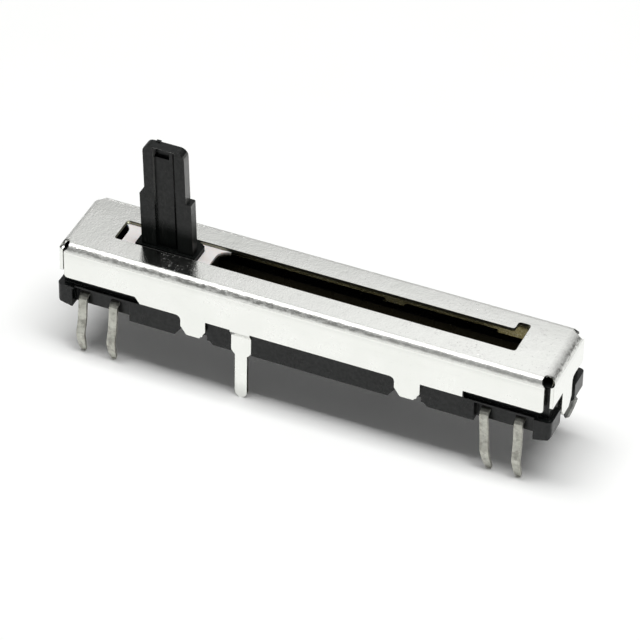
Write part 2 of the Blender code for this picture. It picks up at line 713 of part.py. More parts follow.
def make_terminal_mesh(name, rivet_y, drift=0.0, bent=False):
    """A flat strip from its rivet through the wall and down to its tip, for the front row at x = 0."""
    stations = pin_stations()
    stations.insert(0, (rivet_y, stations[0][1], TERMINAL_WIDTH))
    path = bend_aside(stations) if bent else drift_aside(stations, drift)
    ob = mesh_object(name, loft(strip_sections(path)))
    eye = turned([(RIVET_HEAD_RADIUS, TERMINAL_BOTTOM), (RIVET_HEAD_RADIUS, TERMINAL_TOP)])
    hole = turned([(RIVET_RADIUS + SEAT_GAP, TERMINAL_BOTTOM - OVERCUT),
                   (RIVET_RADIUS + SEAT_GAP, TERMINAL_TOP + OVERCUT)])
    at_rivet = Matrix.Translation((0.0, -rivet_y, 0.0))
    carve(ob, [moved(eye, at_rivet)], "UNION")
    carve(ob, [moved(hole, at_rivet)])
    mesh = ob.data
    bpy.data.objects.remove(ob, do_unlink=True)
    return mesh


def make_rivet_mesh():
    """A tubular rivet, closed over the terminal and under the board."""
    head_low = TERMINAL_TOP + SEAT_GAP
    tail_top = BOARD_BOTTOM - SEAT_GAP
    profile = [(RIVET_RADIUS, tail_top - RIVET_TAIL), (RIVET_HEAD_RADIUS, tail_top - RIVET_TAIL)]
    profile += [(RIVET_HEAD_RADIUS, tail_top), (RIVET_RADIUS, tail_top)]
    profile += [(RIVET_RADIUS, head_low), (RIVET_HEAD_RADIUS, head_low)]
    profile += [(RIVET_HEAD_RADIUS, head_low + RIVET_HEAD / 2), (RIVET_RADIUS, head_low + RIVET_HEAD)]
    ob = mesh_object("rivet", turned(profile))
    mesh = ob.data
    bpy.data.objects.remove(ob, do_unlink=True)
    return mesh


def make_terminals(tin, brass, parent):
    """Both rows of terminals and their rivets: the outer right one of the back row is bent."""
    straight = {y: make_terminal_mesh(f"straight_{i}", y) for i, y in enumerate((CARBON_Y, COLLECTOR_Y))}
    fronts = enumerate(zip(RIVET_YS, TIP_DRIFTS))
    drifted = [make_terminal_mesh(f"drifted_{i}", y, drift) for i, (y, drift) in fronts]
    bent_mesh = make_terminal_mesh("bent", CARBON_Y, bent=True)
    rivet_mesh = make_rivet_mesh()
    for row, turn in (("front", 0.0), ("back", math.pi)):
        sign = 1 if row == "front" else -1
        for i, (x, y) in enumerate(zip(TERMINAL_XS, RIVET_YS)):
            if row == "front":
                mesh = drifted[i]
            else:
                mesh = bent_mesh if i == 0 else straight[y]
            ob = bpy.data.objects.new(f"terminal_{row}_{i + 1}", mesh)
            ob.location = (sign * x, 0.0, 0.0)
            ob.rotation_euler = (0.0, 0.0, turn)
            bpy.context.scene.collection.objects.link(ob)
            finish(ob, tin, parent)
            rivet = bpy.data.objects.new(f"rivet_{row}_{i + 1}", rivet_mesh)
            rivet.location = (sign * x, -sign * y, 0.0)
            bpy.context.scene.collection.objects.link(rivet)
            finish(rivet, brass, parent)


# Slider, modelled about the carrier's centre at x = 0

def foot_outline(gap):
    """Plan of the lever's foot, grown by a gap. Its right back corner is cut off."""
    left = FOOT_OFFSET - FOOT_LENGTH / 2 - gap
    right = FOOT_OFFSET + FOOT_LENGTH / 2 + gap
    front = -FOOT_FRONT - gap
    back = FOOT_BACK + gap
    corner = [(right, back - FOOT_CORNER_Y), (right - FOOT_CORNER_X, back)]
    return [(left, front), (right, front)] + corner + [(left, back)]


def mouth_cuts(sign):
    """Open mouth in the carrier's top plate at one end, and what is cut away below that plate."""
    r = CARRIER_MOUTH_RADIUS
    web = CARRIER_WEB / 2
    far = CARRIER_LENGTH / 2 + OVERCUT
    corners = [(far, -CARRIER_MOUTH_FRONT, 0.0), (far, CARRIER_MOUTH_BACK, 0.0)]
    corners += [(web, CARRIER_MOUTH_BACK, r), (web, -CARRIER_MOUTH_FRONT, r)]
    outline = [(sign * u, v) for u, v in fillet(corners, 5)]
    mouth = prism(outline, "Z", KEEL_BOTTOM - OVERCUT, CARRIER_TOP + OVERCUT)
    xs = sorted((sign * (web - CARRIER_MOUTH_RELIEF), sign * far))
    relief = block(*xs, -HALF_WIDTH, HALF_WIDTH, KEEL_BOTTOM - OVERCUT, CARRIER_TOP - CARRIER_MOUTH_LIP)
    return [mouth, relief]


def make_carrier():
    """The carrier: a web that holds the lever's foot, runners at its top and a keel in the trough."""
    half_x = CARRIER_LENGTH / 2
    half_y = INNER_HALF_WIDTH - RUNNING_GAP
    edge = BEND_RADIUS - SHEET
    profile = [(-half_y, CARRIER_BOTTOM, 0.0), (half_y, CARRIER_BOTTOM, 0.0), (half_y, CARRIER_TOP, edge)]
    profile += [(-half_y, CARRIER_TOP, edge)]
    ob = mesh_object("carrier", prism(fillet(profile, 3), "X", -half_x, half_x))
    keel_y = CAVITY_HALF_WIDTH - RUNNING_GAP
    keel_x = CARRIER_WEB / 2
    carve(ob, [block(-keel_x, keel_x, -keel_y, keel_y, KEEL_BOTTOM, CARRIER_BOTTOM + SHEET)], "UNION")
    pocket = prism(foot_outline(SEAT_GAP), "Z", FOOT_BOTTOM - SEAT_GAP, CARRIER_TOP + OVERCUT)
    carve(ob, mouth_cuts(-1) + mouth_cuts(1) + [pocket])
    return ob


def lever_outline():
    """Front outline of the lever's tongue: shoulders halfway and rounded top corners."""
    half = LEVER_WIDTH / 2
    lower = LEVER_LOWER_WIDTH / 2
    shoulder = COVER_TOP + LEVER_SHOULDER_HEIGHT
    top = COVER_TOP + LEVER_HEIGHT
    r = LEVER_CORNER_RADIUS
    bottom = FOOT_TOP - SHEET
    corners = [(-lower, bottom, 0.0), (lower, bottom, 0.0), (lower, shoulder, r / 8), (half, shoulder, 0.0)]
    corners += [(half, top, r), (-half, top, r), (-half, shoulder, 0.0), (-lower, shoulder, r / 8)]
    return [(LEVER_OFFSET + u, v) for u, v in fillet(corners, 5)]


def make_lever():
    """The lever: a foot in the carrier and a tongue with a channel down its front."""
    front = -FOOT_FRONT + LEVER_FRONT_INSET
    back = front + LEVER_THICKNESS
    top = COVER_TOP + LEVER_HEIGHT
    ob = mesh_object("lever", prism(foot_outline(0.0), "Z", FOOT_BOTTOM, FOOT_TOP))
    nub_z = top - NUB_SIZE
    nub_x = LEVER_OFFSET - LEVER_WIDTH / 4
    nub_ys = (back - NUB_SIZE, back + NUB_SIZE / 4)
    nub = block(nub_x, nub_x + 2 * NUB_SIZE, *nub_ys, nub_z, top + NUB_SIZE / 2)
    carve(ob, [prism(lever_outline(), "Y", front, back), nub], "UNION")
    channel_top = top - CHANNEL_TOP_LIP
    left = LEVER_OFFSET - CHANNEL_WIDTH / 2
    right = LEVER_OFFSET + CHANNEL_WIDTH / 2
    channel = block(left, right, front - OVERCUT, front + CHANNEL_DEPTH, FOOT_TOP, channel_top)
    groove_y = front + CHANNEL_DEPTH + GROOVE_DEPTH
    groove_top = channel_top - GROOVE_WIDTH
    groove = block(right - GROOVE_WIDTH, right, front - OVERCUT, groove_y, FOOT_TOP, groove_top)
    pocket_y = front + CHANNEL_DEPTH + POCKET_DEPTH
    pocket_bottom = channel_top - POCKET_HEIGHT
    pocket = block(left, left + POCKET_WIDTH, front - OVERCUT, pocket_y, pocket_bottom, channel_top)
    carve(ob, [channel, groove, pocket])
    for vertex in ob.data.vertices:
        if vertex.co.z > FOOT_TOP + SEAT_GAP:
            height = vertex.co.z - FOOT_TOP
            vertex.co.x -= height * LEVER_LEAN / LEVER_HEIGHT
    return ob


def brush_profile():
    """Side view of a brush: a plate under the keel, a sloping leg and a curled contact tip."""
    t = BRUSH_THICKNESS
    top = KEEL_BOTTOM - SEAT_GAP
    contact = BOARD_TOP + SEAT_GAP / 3 + TRACK_THICKNESS + CONTACT_GAP
    tip = BRUSH_TIP_X
    plate_right = tip - BRUSH_REACH
    plate_left = plate_right - BRUSH_PLATE_LENGTH
    lower = [(plate_left, top - t), (plate_right, top - t), (tip - BRUSH_CURL, contact + t * 0.15)]
    lower += [(tip, contact), (tip + BRUSH_CURL, contact + BRUSH_CURL)]
    upper = [(tip + BRUSH_CURL * 0.8, contact + BRUSH_CURL + t), (tip, contact + t * 1.2)]
    upper += [(tip - BRUSH_CURL, contact + t * 1.5), (plate_right + t, top), (plate_left, top)]
    return lower + upper


def make_brush(name, sign):
    """One brush of four fingers: two on the carbon track and two on the collector."""
    outer = COLLECTOR_Y + FINGER_WIDTH + FINGER_GAP
    inner = CARBON_Y - FINGER_WIDTH - FINGER_GAP
    ob = mesh_object(name, prism(brush_profile(), "Y", *sorted((sign * outer, sign * inner))))
    slit_left = BRUSH_TIP_X - BRUSH_REACH + BRUSH_THICKNESS
    slit_right = BRUSH_TIP_X + BRUSH_CURL + OVERCUT
    half_gap = FINGER_GAP / 2
    middle = (CARBON_Y + FINGER_WIDTH + half_gap, COLLECTOR_Y - FINGER_WIDTH - half_gap)
    carbon = (CARBON_Y - half_gap, CARBON_Y + half_gap)
    collector = (COLLECTOR_Y - half_gap, COLLECTOR_Y + half_gap)
    slits = []
    for low, high in (carbon, middle, collector):
        ys = sorted((sign * low, sign * high))
        slits.append(block(slit_left, slit_right, *ys, FLOOR_TOP, KEEL_BOTTOM + OVERCUT))
    carve(ob, slits)
    return ob


# Assembly

def add_empty(name, location):
    """An empty that carries the pieces that move together."""
    empty = bpy.data.objects.new(name, None)
    empty.location = location
    empty.empty_display_size = COVER_WIDTH
    bpy.context.scene.collection.objects.link(empty)
    return empty


def build():
    """Clears the scene and makes every piece."""
    for ob in list(bpy.data.objects):
        bpy.data.objects.remove(ob, do_unlink=True)
    tinplate = material("tinplate", (0.80, 0.81, 0.79), 0.25, 1.0)
    black = material("black_moulding", (0.025, 0.027, 0.027), 0.45, 0.0)
    white = material("white_moulding", (0.80, 0.76, 0.74), 0.5, 0.0)
    phenolic = material("phenolic_board", (0.33, 0.20, 0.08), 0.6, 0.0)
    carbon = material("carbon_ink", (0.015, 0.015, 0.016), 0.7, 0.0)
    silver = material("silver_ink", (0.62, 0.61, 0.58), 0.4, 1.0)
    tin = material("tinned_terminal", (0.42, 0.42, 0.37), 0.45, 1.0)
    brass = material("brass_rivet", (0.65, 0.50, 0.24), 0.35, 1.0)
    bronze = material("spring_bronze", (0.60, 0.42, 0.24), 0.3, 1.0)
    case = add_empty("case_origin", (0.0, 0.0, 0.0))
    slider = add_empty("slider_axis", (LEVER_REST_X, 0.0, 0.0))
    finish(make_cover(), tinplate, case)
    finish(make_base(), black, case)
    finish(make_board(), phenolic, case)
    for row, sign in (("front", -1), ("back", 1)):
        outer, inner = track_span(row)
        finish(make_track(f"carbon_track_{row}", sign * CARBON_Y, *outer), carbon, case)
        finish(make_track(f"collector_track_{row}", sign * COLLECTOR_Y, *inner), silver, case)
        finish(make_brush(f"brush_{row}", sign), bronze, slider)
    make_terminals(tin, brass, case)
    finish(make_carrier(), white, slider)
    finish(make_lever(), black, slider)


build()
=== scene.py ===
import math

import bpy
from mathutils import Matrix, Vector


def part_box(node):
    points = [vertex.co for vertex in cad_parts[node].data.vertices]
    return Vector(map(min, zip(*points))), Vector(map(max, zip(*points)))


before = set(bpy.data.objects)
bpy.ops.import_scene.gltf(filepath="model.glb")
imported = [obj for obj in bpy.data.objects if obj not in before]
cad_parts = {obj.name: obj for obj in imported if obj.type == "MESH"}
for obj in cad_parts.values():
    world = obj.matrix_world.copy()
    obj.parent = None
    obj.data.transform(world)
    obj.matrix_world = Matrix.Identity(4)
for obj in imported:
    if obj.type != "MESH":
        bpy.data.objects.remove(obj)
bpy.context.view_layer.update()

# Looks of the slide potentiometer: materials, camera, floor and studio light over the fixed frame.
# Lengths are in metres. Object coordinates are the frame's own, since every node sits at the origin.

MM = 0.001
MICRON = 0.000001

# The photograph's view
AZIMUTH, ELEVATION, ROLL = 0.395207927, 0.673397551, 0.0225280749
DISTANCE = 0.356879281
FOCAL_PIXELS = 4172.45151
OFFSET_RIGHT, OFFSET_UP = 0.000285469695, 0.00586918209
SENSOR_MM = 36
PHOTO_PIXELS = 640
CLIP_START = 0.01

# Places that the materials need
COVER_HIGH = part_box("cover")[1]
COVER_TOP = COVER_HIGH.z
BEND_RADIUS = 0.7 * MM
LEVER_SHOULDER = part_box("lever")[1].z - 4.5 * MM
CARRIER_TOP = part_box("carrier")[1].z

# Parts of a noise's range over which it turns from one look into the other
SOFT = (0.35, 0.65)
WIDE = (0.3, 0.7)


def span(start, end, place=0.0):
    """A stretch between two distances from a place, given in millimetres."""
    return place + start * MM, place + end * MM


# Node graphs

class Graph:
    """A node tree, with one call for each kind of node that the looks use."""

    def __init__(self, tree):
        self.tree = tree

    def node(self, kind, **settings):
        made = self.tree.nodes.new(kind)
        for key, value in settings.items():
            setattr(made, key, value)
        return made

    def join(self, value, socket):
        """Links an output to a socket, or writes a plain value on it."""
        if isinstance(value, bpy.types.NodeSocket):
            self.tree.links.new(value, socket)
        else:
            socket.default_value = value

    def math(self, operation, a, b=0.0, c=0.0):
        made = self.node("ShaderNodeMath", operation=operation)
        for socket, value in zip(made.inputs, (a, b, c)):
            self.join(value, socket)
        return made.outputs[0]

    def ramp(self, value, stretch, ends=(0.0, 1.0)):
        """Goes from one end to the other while a value crosses a stretch, and is held beyond it."""
        made = self.node("ShaderNodeMapRange")
        for name, number in zip(("From Min", "From Max", "To Min", "To Max"), (*stretch, *ends)):
            made.inputs[name].default_value = number
        self.join(value, made.inputs["Value"])
        return made.outputs["Result"]

    def band(self, value, rise, fall):
        """A band that comes in over one stretch and fades over another."""
        return self.math("MULTIPLY", self.ramp(value, rise), self.ramp(value, fall))

    def product(self, first, *others):
        for other in others:
            first = self.math("MULTIPLY", first, other)
        return first

    def split(self, vector):
        """A vector as three numbers."""
        made = self.node("ShaderNodeSeparateXYZ")
        self.join(vector, made.inputs[0])
        return made.outputs[0], made.outputs[1], made.outputs[2]

    def vector(self, operation, a, b=(0.0, 0.0, 0.0)):
        """Vector arithmetic. Operations that give a number have it as their second output."""
        made = self.node("ShaderNodeVectorMath", operation=operation)
        self.join(a, made.inputs[0])
        self.join(b, made.inputs[1])
        return made.outputs[1] if operation in ("LENGTH", "DOT_PRODUCT") else made.outputs[0]


class Surface(Graph):
    """A material's node tree, with its textures placed by the object coordinates."""

    def __init__(self, name):
        self.material = bpy.data.materials.new(name)
        self.material.use_nodes = True
        super().__init__(self.material.node_tree)
        self.shader = self.tree.nodes["Principled BSDF"]
        self.place = self.node("ShaderNodeTexCoord").outputs["Object"]
        self.flat = self.node("ShaderNodeNewGeometry").outputs["True Normal"]

    def stretched(self, factors):
        """The object coordinates times a factor for each axis."""
        mapping = self.node("ShaderNodeMapping")
        mapping.inputs["Scale"].default_value = factors
        self.join(self.place, mapping.inputs["Vector"])
        return mapping.outputs["Vector"]

    def noise(self, scale, detail, rough):
        """Soft noise. A scale of three numbers is one for each axis, which stretches the noise."""
        place = self.place
        if isinstance(scale, tuple):
            place, scale = self.stretched(scale), 1.0
        made = self.node("ShaderNodeTexNoise")
        made.inputs["Scale"].default_value = scale
        made.inputs["Detail"].default_value = detail
        made.inputs["Roughness"].default_value = rough
        self.join(place, made.inputs["Vector"])
        return made.outputs["Fac"]

    def cells(self, scale):
        """Distance from the middle of irregular cells."""
        made = self.node("ShaderNodeTexVoronoi")
        made.inputs["Scale"].default_value = scale
        self.join(self.place, made.inputs["Vector"])
        return made.outputs["Distance"]

    def mix(self, share, a, b):
        """Blends two colours by a share."""
        made = self.node("ShaderNodeMix", data_type="RGBA")
        self.join(share, made.inputs["Factor"])
        for name, value in (("A", a), ("B", b)):
            socket = next(s for s in made.inputs if s.name == name and s.type == "RGBA")
            self.join(value if isinstance(value, bpy.types.NodeSocket) else (*value, 1.0), socket)
        return next(s for s in made.outputs if s.type == "RGBA")

    def tint(self, colour, tone, *shares):
        """Lays a tone over a colour by the product of some shares."""
        return self.mix(self.product(*shares), colour, tone)

    def mix_vectors(self, share, a, b):
        """Blends two directions by a share."""
        made = self.node("ShaderNodeMix", data_type="VECTOR")
        self.join(share, made.inputs["Factor"])
        for name, value in (("A", a), ("B", b)):
            self.join(value, next(s for s in made.inputs if s.name == name and s.type == "VECTOR"))
        return self.vector("NORMALIZE", next(s for s in made.outputs if s.type == "VECTOR"))

    def rounded(self, radius):
        """Normals with the hard edges rounded by a radius."""
        bevel = self.node("ShaderNodeBevel", samples=6)
        bevel.inputs["Radius"].default_value = radius
        return bevel.outputs["Normal"]

    def bump(self, normal, *heights):
        """Adds bumps, given as pairs of height and depth."""
        for height, depth in heights:
            bump = self.node("ShaderNodeBump")
            bump.inputs["Distance"].default_value = depth
            self.join(height, bump.inputs["Height"])
            self.join(normal, bump.inputs["Normal"])
            normal = bump.outputs["Normal"]
        self.join(normal, self.shader.inputs["Normal"])

    def finish(self, **values):
        """Sets the shader's inputs by their names, and gives the material."""
        for name, value in values.items():
            self.join(value, self.shader.inputs[name.replace("_", " ").title().replace("Ior", "IOR")])
        return self.material


# Tinplate of the cover

TIN_GREY, TIN_PALE = (0.86, 0.87, 0.835), (0.905, 0.91, 0.88)
SCRATCHED, SCRATCH_SHARE = (0.70, 0.70, 0.67), 0.2
PITTED, PIT_SHARE = (0.45, 0.45, 0.41), 0.35
# Painted shade in a faint line along the crease below the bends
CREASE_SHADE, CREASE_SHADE_SHARES = (0.40, 0.40, 0.37), (0.06, 0.16)
DUSTY, DUST_SHARE = (0.60, 0.60, 0.57), 0.35
# Painted dark reflection, in streaks, on the bends
PAINTED_DARK_REFLECTION, PAINTED_DARK_REFLECTION_SHARES = (0.26, 0.26, 0.245), (0.0, 0.8)
# Painted shade in a thin line along the rear bend
REAR_SHADE_LINE, REAR_SHADE_SHARE = (0.20, 0.20, 0.18), 0.6
# Painted shade on the top near the bend of the open end
END_SHADE, END_SHADE_SHARES = (0.25, 0.25, 0.24), (0.22, 0.42)
CUT_STEEL = (0.26, 0.26, 0.20)
# Black along the top of the cut edges, and painted shade on the slot's rounded rear lip
EDGE_BLACK_AND_SHADE = (0.03, 0.03, 0.02)
# Olive of the worn slot ends and painted shade of the inside; painted light on the inside near the notch
OLIVE_AND_INSIDE_SHADE, OLIVE_PAINTED_LIGHT = (0.20, 0.20, 0.15), (0.98, 0.95, 0.70)
WORN_END_SHARE = 0.6
CLOUD_ROUGHNESS = (0.11, 0.18)
GRAIN_ROUGHNESS = (0.0, 0.06)
SMUDGE_ROUGHER, BEND_ROUGHER, DULL_ROUGHER, INSIDE_ROUGHER = 0.20, 0.16, 0.28, -0.20
BEND_METALLIC = 0.72
CROWN = 5.0
INSIDE_LEAN = 1.25


class Tinplate(Surface):
    """Bright rolled tinplate: cloudy patches, fine grain, specks, pits and short rolling scratches."""

    def __init__(self):
        super().__init__("tinplate_looks")
        self.x, self.y, self.z = self.split(self.place)
        self.nx, self.ny, self.nz = self.split(self.flat)
        self.cloud = self.noise(260.0, detail=4.0, rough=0.55)
        self.mottle = self.noise(1500.0, detail=3.0, rough=0.6)
        self.grain = self.noise(7500.0, detail=2.0, rough=0.6)
        self.pit = self.ramp(self.cells(2300.0), (0.05, 0.12), (1.0, 0.0))
        self.edges = self.rounded(50 * MICRON)
        self.normal, self.bend = self.fold()
        self.upright = self.ramp(self.math("ABSOLUTE", self.nz), (0.3, 0.1))
        self.inner = self.find_inside()

    def fold(self):
        """The normals, truly round along the bends, and how much of a bend each place is.

        The mesh has facets there. Whatever lies beyond the box of the bends' axes is part of a bend.
        """
        corner = (COVER_HIGH.x - BEND_RADIUS, COVER_HIGH.y - BEND_RADIUS, COVER_TOP - BEND_RADIUS)
        far_below = -1.0
        inside = self.vector("MINIMUM", self.place, corner)
        inside = self.vector("MAXIMUM", inside, (-corner[0], -corner[1], far_below))
        reach = self.vector("SUBTRACT", self.place, inside)
        x, y, z = self.split(self.vector("ABSOLUTE", reach))
        sideways = self.math("MAXIMUM", x, y)
        bent = self.ramp(self.math("MINIMUM", sideways, z), (10 * MICRON, 30 * MICRON))
        skin = self.ramp(self.vector("LENGTH", reach), span(-0.20, -0.15, BEND_RADIUS))
        bend = self.math("MULTIPLY", bent, skin)
        return self.mix_vectors(bend, self.edges, self.vector("NORMALIZE", reach)), bend

    def find_inside(self):
        """The inner faces of the walls: upright, facing the middle, further out than the slot's edges."""
        outward = self.math("MULTIPLY_ADD", self.x, self.nx, self.math("MULTIPLY", self.y, self.ny))
        return self.math("MULTIPLY", self.ramp(outward, span(-3.0, -3.5)), self.upright)

    def sheet(self):
        """The plain sheet's colour."""
        scratch = self.noise((300.0, 9000.0, 9000.0), detail=2.0, rough=0.5)
        colour = self.mix(self.ramp(self.cloud, SOFT), TIN_GREY, TIN_PALE)
        colour = self.tint(colour, SCRATCHED, self.ramp(scratch, (0.66, 0.72)), SCRATCH_SHARE)
        return self.tint(colour, PITTED, self.pit, PIT_SHARE)

    def bend_dust_and_painted_shade(self, colour):
        """The stretched bends are dustier and carry a painted dark reflection in streaks, and a faint line
        of painted shade runs along the crease where they end.
        """
        below = self.math("SUBTRACT", COVER_TOP - BEND_RADIUS, self.z)
        # Painted shade: a faint dark line along the crease below the bends
        crease = self.band(below, span(0.06, 0.16), span(0.60, 0.20))
        colour = self.tint(colour, CREASE_SHADE, crease, self.ramp(self.grain, WIDE, CREASE_SHADE_SHARES))
        colour = self.tint(colour, DUSTY, self.bend, self.ramp(self.grain, (0.4, 0.6)), DUST_SHARE)
        # Painted dark reflection, in streaks, on the lower part of each bend
        streak = self.noise((1500.0, 2600.0, 4200.0), detail=3.0, rough=0.7)
        streak = self.ramp(streak, (0.42, 0.58), PAINTED_DARK_REFLECTION_SHARES)
        height = self.band(below, span(-0.64, -0.52), span(-0.10, -0.26))
        # The painted dark reflection is fainter at the left end and over the right half, but full on the
        # bend of the open end
        left = self.ramp(self.x, span(-18, -8), (0.8, 1.0))
        right = self.ramp(self.x, span(0, 12), (1.0, 0.4))
        right = self.math("MAXIMUM", right, self.ramp(self.x, span(-0.8, -0.6, COVER_HIGH.x)))
        return self.tint(colour, PAINTED_DARK_REFLECTION, streak, self.bend, height, left, right)

    def painted_shade_lines(self, colour):
        """A thin line of painted shade along the rear bend, and painted shade on the top where it nears the
        bend of the open end.
        """
        # Painted shade in a thin line along the rear bend
        rear = self.band(self.y, span(-0.48, -0.40, COVER_HIGH.y), span(-0.14, -0.22, COVER_HIGH.y))
        colour = self.tint(colour, REAR_SHADE_LINE, self.bend, rear, REAR_SHADE_SHARE)
        # Painted shade on the top near the bend of the open end, in patches
        level = self.ramp(self.nz, (0.5, 0.7))
        near_end_shade = self.band(self.x, span(-1.1, -0.6, COVER_HIGH.x), span(-0.2, -0.5, COVER_HIGH.x))
        patchy = self.ramp(self.mottle, (0.35, 0.60), END_SHADE_SHARES)
        return self.tint(colour, END_SHADE, level, near_end_shade, patchy)

    def cut_edges(self, colour):
        """Dull steel on the slot's cut edges, black along their top, and painted shade on the slot's
        rounded rear lip.

        Gives the colour, and how dull each place is.
        """
        near_top = self.ramp(self.z, span(-0.40, -0.35, COVER_TOP))
        narrow = self.ramp(self.math("ABSOLUTE", self.y), span(3.0, 2.9))
        edge = self.product(self.upright, near_top, narrow)
        turned = self.ramp(self.vector("DOT_PRODUCT", self.edges, self.flat), (0.99, 0.95))
        worn = self.math("MULTIPLY", turned, self.ramp(self.bend, (1.0, 0.0)))
        lip = self.product(worn, near_top, narrow, self.ramp(self.nz, (-0.2, -0.1)))
        # Black along the top of the cut edges
        black_top = self.ramp(self.z, span(-0.14, -0.08, COVER_TOP))
        colour = self.mix(edge, colour, self.mix(black_top, CUT_STEEL, EDGE_BLACK_AND_SHADE))
        # Painted shade: the rounded lip along the slot's rear edge is painted black
        colour = self.tint(colour, EDGE_BLACK_AND_SHADE, lip, self.ramp(self.y, span(0, 0.5)))
        at_ends = self.ramp(self.math("ABSOLUTE", self.x), span(20.5, 21.0))
        colour = self.tint(colour, OLIVE_AND_INSIDE_SHADE, worn, at_ends, WORN_END_SHARE)
        return colour, self.math("MAXIMUM", edge, lip)

    def inside_olive_and_painted_light(self, colour):
        """The inside is olive, painted dark as shade, and painted light makes it paler low down near the
        notch.
        """
        # Painted light on the inside, low down near the notch
        painted_light_share = self.math("MULTIPLY", self.ramp(self.x, span(13, 16.5)), self.ramp(self.z, span(9.7, 9.4)))
        return self.mix(self.inner, colour, self.mix(painted_light_share, OLIVE_AND_INSIDE_SHADE, OLIVE_PAINTED_LIGHT))

    def smudges(self):
        """Smudges in some of the cloudy patches, on the outside."""
        outside = self.ramp(self.inner, (1.0, 0.0))
        patches = self.math("MULTIPLY", self.ramp(self.cloud, (0.47, 0.56)), outside)
        spread = self.ramp(self.noise(3400.0, detail=4.0, rough=0.7), (0.52, 0.66))
        return self.math("MULTIPLY", spread, patches)

    def roughness(self, dull, smudge):
        """The sheet's roughness, with what each kind of wear adds to it."""
        rough = self.ramp(self.cloud, WIDE, CLOUD_ROUGHNESS)
        rough = self.math("ADD", rough, self.ramp(self.grain, (0.45, 0.75), GRAIN_ROUGHNESS))
        for share, rougher in ((smudge, SMUDGE_ROUGHER), (self.bend, BEND_ROUGHER),
                               (dull, DULL_ROUGHER), (self.inner, INSIDE_ROUGHER)):
            rough = self.math("MULTIPLY_ADD", share, rougher, rough)
        return rough

    def relief(self, smudge):
        """Bumps, on a top that is very slightly crowned. The inside leans back a little behind the slot."""
        tilt = self.node("ShaderNodeCombineXYZ")
        self.join(self.math("MULTIPLY", self.inner, INSIDE_LEAN), tilt.inputs["Z"])
        normal = self.vector("NORMALIZE", self.vector("ADD", self.normal, tilt.outputs[0]))
        crown = self.product(self.y, self.y, -CROWN)
        # The grain stands out on the bends, less so on the rear one, and towards the left end
        stretched = self.ramp(self.y, span(-0.7, -0.5, COVER_HIGH.y), (1.5, 0.0))
        stretched = self.math("ADD", 1.0, self.math("MULTIPLY", self.bend, stretched))
        coarse = self.product(self.grain, stretched, self.ramp(self.x, span(-20, 12), (2.2, 0.4)))
        rolled = self.noise((700.0, 3600.0, 3600.0), detail=3.0, rough=0.6)
        fleck = self.math("MULTIPLY", self.ramp(self.cells(6000.0), (0.10, 0.30), (1.0, 0.0)), smudge)
        self.bump(normal, (crown, 1.0), (self.cloud, 30 * MICRON), (self.mottle, 7 * MICRON),
                  (coarse, 8 * MICRON), (rolled, 2.5 * MICRON), (self.pit, -3 * MICRON),
                  (fleck, 12 * MICRON))


def make_tinplate():
    """The cover's material, from the plain sheet to its wear and its painted shade and light, in the order
    in which they overlie.
    """
    g = Tinplate()
    colour, dull = g.cut_edges(g.painted_shade_lines(g.bend_dust_and_painted_shade(g.sheet())))
    colour = g.inside_olive_and_painted_light(colour)
    dull = g.math("MAXIMUM", dull, g.inner)
    smudge = g.smudges()
    g.relief(smudge)
    metallic = g.ramp(g.bend, (0.0, 1.0), (1.0, BEND_METALLIC))
    return g.finish(base_color=colour, metallic=metallic, roughness=g.roughness(dull, smudge))


# The other materials

SCUFF_SHARE, SCUFF_ROUGHER = 0.4, 0.1
# Painted sheen: the lever's side faces are painted lighter grey above the shoulder, where they are also
# smoother
PAINTED_SIDE_SHEEN, SIDE_SHEEN_SHARE, POLISH_SMOOTHER = (0.30, 0.30, 0.29), 0.5, 0.18
WHITE_SHADE, WHITE_LIGHT = (0.84, 0.80, 0.78), (0.90, 0.87, 0.85)
# Painted shade on the carrier's walls below its top plate
PAINTED_WALL_SHADE = (0.030, 0.030, 0.022)
WAXY_WEIGHT, WAXY_RADIUS, WAXY_SCALE = 0.25, (0.4, 0.3, 0.25), 0.6 * MM
FIBRE_DARK, FIBRE_LIGHT = (0.30, 0.24, 0.10), (0.44, 0.36, 0.17)
STAIN_SHARE = 0.6
TIN_METALLIC = 0.85
UNEVEN = 0.2


